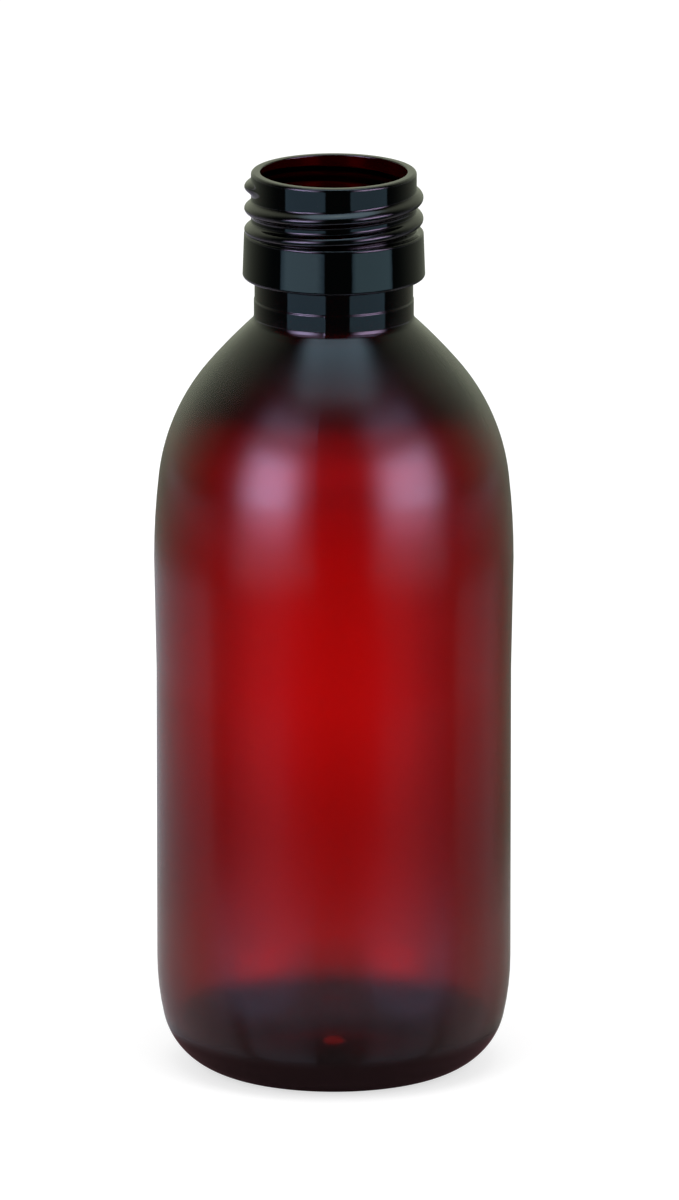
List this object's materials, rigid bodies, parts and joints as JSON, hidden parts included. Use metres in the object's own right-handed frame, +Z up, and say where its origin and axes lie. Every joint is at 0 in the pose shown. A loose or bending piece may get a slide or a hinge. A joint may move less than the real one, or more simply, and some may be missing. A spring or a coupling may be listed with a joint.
{
  "type": "pet bottle",
  "caption": "Round amber bottle blown in one hollow piece, with a domed shoulder, a sunk label panel and a screw neck with a locking collar.",
  "frame": {"origin": "centre of the bottle's base circle, on the plane that the standing ring rests on", "axes": "+Z up the bottle's axis, out of the mouth; -Y is the front; +X is to the right when seen from the front. The screw thread starts on the left of the front."},
  "size_m": [0.0552, 0.0552, 0.1408],
  "materials": {
    "amber_pet": "clear amber plastic, mirror smooth at the neck and soft gloss on the body"
  },
  "bodies": {
    "root": {"bottle": "amber_pet"}
  },
  "joints": []
}
